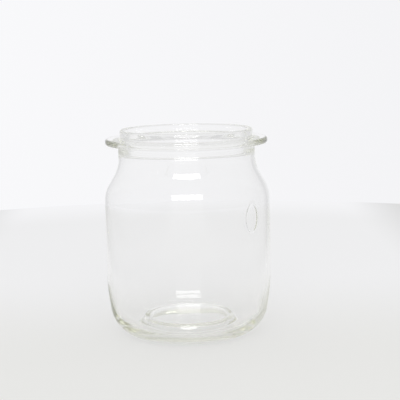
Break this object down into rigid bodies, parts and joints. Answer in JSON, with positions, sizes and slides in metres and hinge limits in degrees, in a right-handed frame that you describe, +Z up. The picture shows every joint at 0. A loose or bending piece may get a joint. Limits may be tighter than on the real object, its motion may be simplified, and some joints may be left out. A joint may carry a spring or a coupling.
{
  "type": "glass preserving jar",
  "caption": "Clear glass preserving jar without its lid: round body, soft shoulder, short neck, gasket flange and raised lip.",
  "frame": {"origin": "centre of the bearing ring, on the plane that the jar stands on", "axes": "+Z up along the jar's axis, through the middle of the mouth"},
  "size_m": [0.1, 0.1, 0.1245],
  "materials": {
    "glass": "clear container glass, fire-polished, with a faint green tint where it is thick"
  },
  "bodies": {
    "root": {"glass_jar": "glass"}
  },
  "joints": []
}
